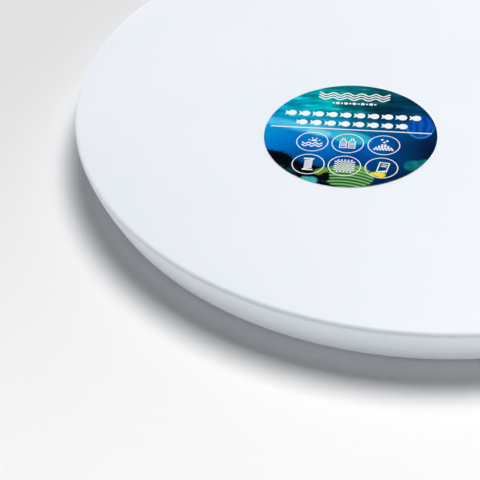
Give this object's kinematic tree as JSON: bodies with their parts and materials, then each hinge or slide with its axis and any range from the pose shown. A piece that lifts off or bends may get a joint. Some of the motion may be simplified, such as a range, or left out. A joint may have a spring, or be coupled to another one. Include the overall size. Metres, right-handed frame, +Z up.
{
  "type": "flying disc",
  "caption": "Shallow white flying disc with a rolled-in rim, a nearly flat top and a round printed label stuck off centre.",
  "frame": {"origin": "on the disc's axis, in the plane that its foot ring stands on", "axes": "+Z up along the axis, out of the crown; the label lies towards -X and -Y and reads towards +X"},
  "size_m": [0.215, 0.215, 0.0146],
  "materials": {
    "disc_plastic": "smooth satin moulded polyethylene, cool white",
    "label_glue": "clear pressure-sensitive adhesive",
    "label_film": "white label film",
    "label_ink": "printed ink, deep blue and teal underwater picture with white line marks",
    "label_gloss": "clear gloss over-laminate"
  },
  "bodies": {
    "root": {"disc_shell": "disc_plastic", "label_adhesive": "label_glue", "label_film": "label_film", "label_print": "label_ink", "label_laminate": "label_gloss"}
  },
  "joints": []
}
